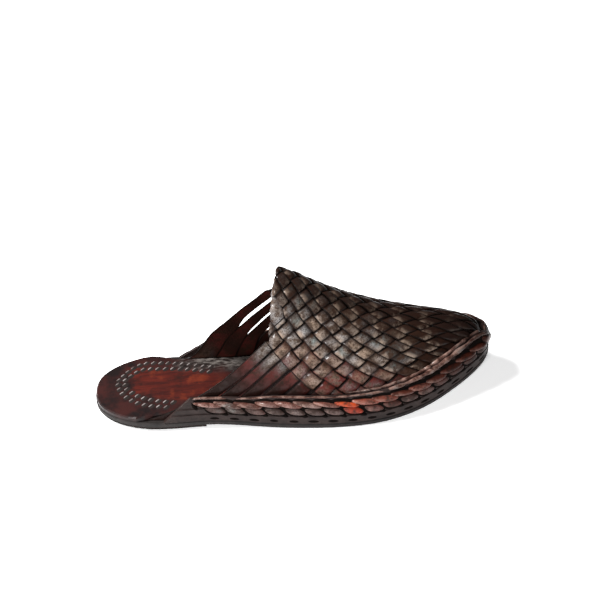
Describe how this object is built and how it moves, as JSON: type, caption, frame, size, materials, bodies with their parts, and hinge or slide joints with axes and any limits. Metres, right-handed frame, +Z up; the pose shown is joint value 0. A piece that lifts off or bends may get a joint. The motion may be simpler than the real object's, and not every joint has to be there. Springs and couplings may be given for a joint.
{
  "type": "slipper",
  "caption": "Backless woven leather slipper with a pointed toe, a plaited side wall and a flat sole.",
  "frame": {"origin": "on the floor under the middle of the heel seat, on the underside of the heel lift", "axes": "+X from the heel to the toe, +Y to the inner side of the foot, +Z up"},
  "size_m": [0.263, 0.089, 0.0963],
  "materials": {
    "lift_leather": "dark stacked sole leather, matt",
    "sole_leather": "grey brown sole leather, waxed edge",
    "insole_leather": "oxblood leather, burnished, worn dark at the rim",
    "wall_leather": "dark brown leather, satin",
    "braid_leather": "reddish brown leather thong, polished on its crowns",
    "strip_leather": "woven strips, burnished dark brown with a grey sheen"
  },
  "bodies": {
    "root": {"heel_lift": "lift_leather", "outsole": "sole_leather", "insole": "insole_leather", "side_wall": "wall_leather", "edge_braid": "braid_leather", "upper": "strip_leather"}
  },
  "joints": []
}
